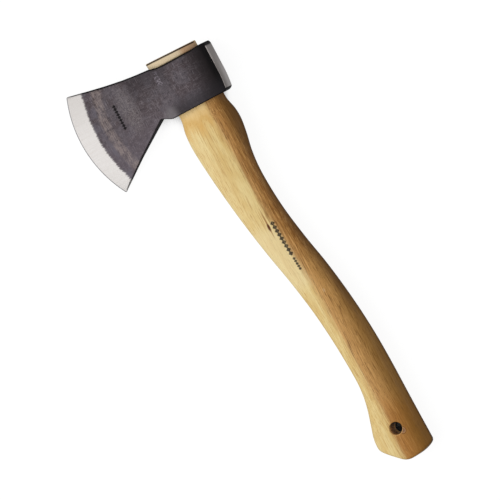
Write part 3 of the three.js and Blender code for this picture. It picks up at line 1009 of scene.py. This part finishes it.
class ForgedSteel(ToolShader):
    """Black forge scale on the cheeks, with a brushed bevel and a ground poll."""

    def __init__(self):
        super().__init__("forged_steel_scaled")
        self.clouds = self.noise((12, 12, 12), 3, 0.6, seed=2)
        self.mottle = self.noise((2.6, 3.4, 3), 4, 0.7, seed=5)
        self.grit = self.noise((0.8, 0.9, 0.8), 2, 0.65, seed=9)
        self.cross = self.noise((6, 0.7, 6), 2, 0.6, seed=15)
        self.streaks = self.noise((0.5, 22, 22), 3, 0.6, seed=17)
        self.bevel_depth = self.attribute("bevel_depth")
        # Painted shade where the head turns side-on across its thickness, spared on the near half of the
        # beard's wall, joined with the painted rim shade
        side_shade = self.times(self.ramp(self.facing(2), 0.55, 0.2), self.attribute("side_shade"))
        self.rim_shade = self.math("MAXIMUM", self.attribute("rim_shade"), side_shade)

    def scale(self):
        """Forge scale: dark grey clouds, mottled, gritty and scratched both ways."""
        scratches = self.noise((0.7, 6, 6), 2, 0.6, seed=12)
        return self.coats(
            self.blend((72, 64, 69), (90, 83, 88), self.ramp(self.clouds, 0.36, 0.64)),
            ((88, 72, 68), self.ramp(self.clouds, 0.6, 0.42), 0.25),
            ((116, 108, 112), self.ramp(self.mottle, 0.52, 0.72), 0.7),
            ((48, 43, 47), self.ramp(self.mottle, 0.48, 0.3), 0.7),
            ((136, 127, 129), self.ramp(self.grit, 0.58, 0.74), 0.75),
            ((118, 110, 114), self.ramp(scratches, 0.58, 0.7), 0.7),
            ((132, 124, 129), self.ramp(self.cross, 0.56, 0.72), 0.6),
            ((121, 112, 122), self.ramp(self.x, 18, 55), 0.3),
        )

    def scuffed(self):
        """A speckled patch in the middle of the cheek, and a few pale scuffs in front of the eye."""
        speckled = self.times(self.patch((22, -52), (28, 10)), self.ramp(self.grit, 0.4, 0.6))
        scuffs = self.times(
            self.between(self.x, 5, 16, 2),
            self.between(self.y, -19.5, -15.5, 1),
            self.ramp(self.noise((1.4, 1, 3), seed=13), 0.5, 0.62),
        )
        return [((132, 124, 124), speckled, 0.6), ((168, 158, 168), scuffs, 0.85)]

    def tempered(self):
        """A warm band and a bluish one, which run beside the bevel."""
        smeared = self.add(self.times(self.cross, 0.55), self.times(self.mottle, 0.45))
        warm = self.between(self.bevel_depth, -13.5, -9.5, 3.5)
        blue = self.between(self.bevel_depth, -6.5, -1, 2)
        return [
            ((162, 147, 141), warm, self.ramp(smeared, 0.42, 0.58, 0.15, 1), 0.5),
            ((108, 103, 113), blue, self.ramp(self.clouds, 0.3, 0.7), 0.5),
        ]

    def darkened(self):
        """Darker scale along the top and under the eye; painted shade towards the poll, where the cheek turns
        away from the light, and along the rims; and a painted highlight where the cheek's corner by the notch
        catches the light.
        """
        along_top = self.times(self.ramp(self.x, 28, 2), self.between(self.y, -40, -14, 12))
        under_eye = self.times(self.ramp(self.x, 27, 44), self.between(self.y, -12, 30, 8))
        return [
            ((46, 41, 45), along_top, 0.6),
            # Painted highlight on the cheek's rounded corner by the notch
            ((120, 116, 118), self.patch((42, -20), (8, 9)), 0.6),
            # Painted shade towards the poll, where the cheek turns away from the light, black by its corner
            ((24, 19, 20), self.ramp(self.y, 0, 27), 0.98),
            ((6, 4, 4), self.ramp(self.y, 24.5, 28.5)),
            ((34, 31, 34), under_eye, 0.72),
            ((8, 6, 7), self.rim_shade, 0.97),
        ]

    def stamp(self):
        """A row of diamonds stamped in the near cheek."""
        row = self.diamonds(self.line(self.x, 1, -12.5), self.line(self.y, 1, 62.4), 22.5, 2.5, 1.5, 1.7)
        return self.times(row, self.ramp(self.z, 0, 1))

    def ground(self):
        """1 on the ground bevel, whose border with the scale is ragged."""
        strokes = self.noise((0.9, 9, 9), 2, 0.6, seed=21)
        wander = self.line(self.clouds, 2, -1)
        ragged = self.add(self.bevel_depth, self.line(strokes, 3.4, -1.7), wander)
        return self.ramp(ragged, -1.3, 1.1)

    def bevel_colour(self):
        """Brushed steel, greyer towards its top corner, at the honed edge and where the painted rim shade lies
        over it.
        """
        edge = self.ramp(self.attribute("edge_reach"), 1, 0.5)
        return self.coats(
            self.blend((176, 172, 169), (182, 179, 177), self.ramp(self.streaks, 0.35, 0.65)),
            ((162, 158, 155), self.ramp(self.x, 34, -8), 0.6),
            ((120, 119, 120), edge),
            ((70, 69, 70), self.rim_shade, 0.5),
        )

    def poll_colour(self):
        """Ground steel, brighter low on the far side and darker low on the near side."""
        poll_streaks = self.noise((26, 26, 0.5), 3, 0.6, seed=27)
        brighter_far_low = self.times(self.ramp(self.x, 10, 34), self.ramp(self.z, 6, -5))
        darker_near_low = self.times(self.ramp(self.x, 14, 26), self.ramp(self.z, 6.5, 11.5))
        return self.coats(
            self.blend((162, 153, 149), (190, 183, 180), self.ramp(poll_streaks, 0.35, 0.65)),
            ((228, 222, 219), brighter_far_low, 0.8),
            ((118, 110, 107), darker_near_low, 0.7),
        )

    def relief(self, stamp, worked):
        """Rough scale with the stamp sunk in it, and faint brush marks where the steel is worked."""
        rough = self.add(self.times(self.mottle, 0.6), self.times(self.grit, 0.35), self.times(stamp, -2))
        unworked = self.math("SUBTRACT", 1, worked)
        return self.add(self.times(rough, unworked), self.times(self.streaks, worked, 0.06))


def forged_steel():
    steel = ForgedSteel()
    stamp = steel.stamp()
    ground = steel.ground()
    poll = steel.ramp(steel.attribute("poll_depth"), POLL_CHAMFER - 0.6, POLL_CHAMFER - 0.1)
    worked = steel.math("MAXIMUM", ground, poll)
    steel.set("Base Color", steel.coats(
        steel.scale(), *steel.scuffed(), *steel.tempered(), *steel.darkened(),
        ((14, 11, 12), stamp, 0.95), (steel.bevel_colour(), ground), (steel.poll_colour(), poll),
    ))
    steel.set("Metallic", steel.ramp(worked, 0, 1, 0, 0.8))
    steel.set("Roughness", steel.ramp(worked, 0, 1, 0.62, 0.4))
    steel.set("Specular IOR Level", steel.ramp(worked, 0, 1, 0.12, 0.5))
    steel.set("Normal", steel.bump(steel.relief(stamp, worked), 0.12))
    return steel.material


# ---- wedge materials

def wedge_wood():
    """A plain pale hardwood, rough from the saw."""
    wood = ToolShader("wedge_hardwood")
    grain = wood.noise((22, 1.2, 0.5), 3, 0.6, seed=31)
    pores = wood.noise((3, 0.3, 0.3), 1, 0.5, seed=37)
    ends = wood.ramp(wood.facing(0), 0.75, 0.95)
    wood.set("Base Color", wood.coats(
        wood.blend((222, 196, 150), (188, 152, 102), wood.ramp(grain, 0.35, 0.65)),
        ((168, 128, 84), ends, 0.7),
        ((110, 78, 48), wood.ramp(pores, 0.6, 0.75, 0, 0.5)),
    ))
    wood.set("Roughness", wood.ramp(grain, 0.3, 0.7, 0.6, 0.75))
    wood.set("Normal", wood.bump(wood.add(grain, wood.times(pores, -0.5)), 0.12))
    return wood.material


def wedge_steel():
    """Rolled steel, dented by the hammer blows that drove it."""
    steel = ToolShader("wedge_steel")
    rolled = steel.noise((14, 0.6, 0.6), 3, 0.6, seed=41)
    dents = steel.noise((1.8, 1.8, 1.8), seed=43)
    steel.set("Base Color", steel.coats(
        steel.blend((146, 143, 140), (108, 104, 102), steel.ramp(rolled, 0.35, 0.65)),
        ((88, 72, 60), steel.ramp(dents, 0.55, 0.75, 0, 0.5)),
    ))
    steel.set("Metallic", 0.9)
    steel.set("Roughness", steel.ramp(rolled, 0.3, 0.7, 0.35, 0.5))
    steel.set("Normal", steel.bump(steel.add(dents, steel.times(rolled, 0.4)), 0.15))
    return steel.material


# ---- pieces

def add_piece(made, node, material):
    """Dresses a piece in its material, and has it ride on the body in place of its CAD node."""
    made.data.materials.clear()
    made.data.materials.append(material)
    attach(made, "root")
    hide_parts(node)


def build_pieces():
    add_piece(build_head(), "axe_head", forged_steel())
    add_piece(build_haft(), "haft", hickory())
    add_piece(build_wooden_wedge(), "wooden_wedge", wedge_wood())
    add_piece(build_steel_wedge(), "steel_wedge", wedge_steel())


# ---- stage

def view_axes():
    """Right, up and towards the camera, for a view tilted from square on and turned in its own plane."""
    down, pollward, across = (TOOL.col[index].xyz.normalized() for index in range(3))
    seen_y = pollward * math.cos(VIEW_TILT) - across * math.sin(VIEW_TILT)
    towards = pollward * math.sin(VIEW_TILT) + across * math.cos(VIEW_TILT)
    right = down * math.sin(VIEW_TURN) + seen_y * math.cos(VIEW_TURN)
    up = seen_y * math.sin(VIEW_TURN) - down * math.cos(VIEW_TURN)
    return right, up, towards


def add_camera():
    right, up, towards = view_axes()
    centre = TOOL @ Vector(VIEW_CENTRE)
    data = bpy.data.cameras.new("camera")
    data.sensor_width = SENSOR
    data.lens = SENSOR * VIEW_DISTANCE / VIEW_WIDTH
    data.clip_start = 0.1
    data.clip_end = 50
    camera = add_object("camera", data)
    turn = Matrix((right, up, towards)).transposed().to_4x4()
    camera.matrix_world = Matrix.Translation(centre + towards * VIEW_DISTANCE) @ turn
    bpy.context.scene.camera = camera


def add_light(name, direction, distance, size, power):
    """A soft square light that shines on the middle of the hatchet from a direction."""
    data = bpy.data.lights.new(name, "AREA")
    data.size = size
    data.energy = power
    light = add_object(name, data)
    light.location = TOOL @ Vector(VIEW_CENTRE) + direction.normalized() * distance
    light.rotation_mode = "QUATERNION"
    light.rotation_quaternion = direction.to_track_quat("Z", "Y")


def floor_mesh():
    mesh = bpy.data.meshes.new("floor")
    steps = np.linspace(-FLOOR_HALF, FLOOR_HALF, FLOOR_CELLS + 1)
    points = [(x, y, 0.0) for y in steps for x in steps]
    faces = []
    for row in range(FLOOR_CELLS):
        for column in range(FLOOR_CELLS):
            corner = row * (FLOOR_CELLS + 1) + column
            above = corner + FLOOR_CELLS + 1
            faces.append((corner, corner + 1, above + 1, above))
    mesh.from_pydata(points, [], faces)
    return mesh


def floor_paper():
    """Paper that glows white where it's open and dims where the hatchet is close, a painted shadow, so that it
    has a shadow only close to the hatchet.
    """
    paper = Shader("floor_paper")
    occlusion = paper.node("AmbientOcclusion", (1, 1, 1, 1), SHADOW_REACH)
    openness = paper.ramp(occlusion.outputs["AO"], 0.13, 0.42)
    paper.set("Base Color", paper.line(openness, 0.14, 0.01))
    paper.set("Roughness", 0.9)
    paper.set("Specular IOR Level", 0.0)
    paper.set("Emission Color", (1, 1, 1, 1))
    paper.set("Emission Strength", paper.times(openness, 0.92))
    return paper.material


def add_floor():
    """The floor, which the camera sees but which throws no light on the hatchet."""
    mesh = floor_mesh()
    mesh.materials.append(floor_paper())
    floor = add_object("floor", mesh)
    floor.visible_diffuse = False
    floor.visible_glossy = False


def add_world():
    """A white room, which lights the hatchet less than it shows to the camera."""
    world = bpy.data.worlds.new("studio")
    world.use_nodes = True
    nodes = world.node_tree.nodes
    links = world.node_tree.links
    lighting = nodes["Background"]
    seen = nodes.new("ShaderNodeBackground")
    for background in (lighting, seen):
        background.inputs["Color"].default_value = (1, 1, 1, 1)
    lighting.inputs["Strength"].default_value = WORLD_LIGHT
    mixer = nodes.new("ShaderNodeMixShader")
    path = nodes.new("ShaderNodeLightPath")
    links.new(path.outputs["Is Camera Ray"], mixer.inputs[0])
    links.new(lighting.outputs[0], mixer.inputs[1])
    links.new(seen.outputs[0], mixer.inputs[2])
    links.new(mixer.outputs[0], nodes["World Output"].inputs["Surface"])
    bpy.context.scene.world = world


def build_stage():
    right, up, towards = view_axes()
    add_camera()
    add_floor()
    add_world()
    add_light("key", towards - right * 1.1 - up * 0.35, distance=1.8, size=2.4, power=34)
    add_light("fill", towards * 0.5 + right + up * 0.5, distance=1.6, size=1.0, power=6)
    bpy.context.scene.view_settings.view_transform = "Standard"


build_stage()
build_pieces()
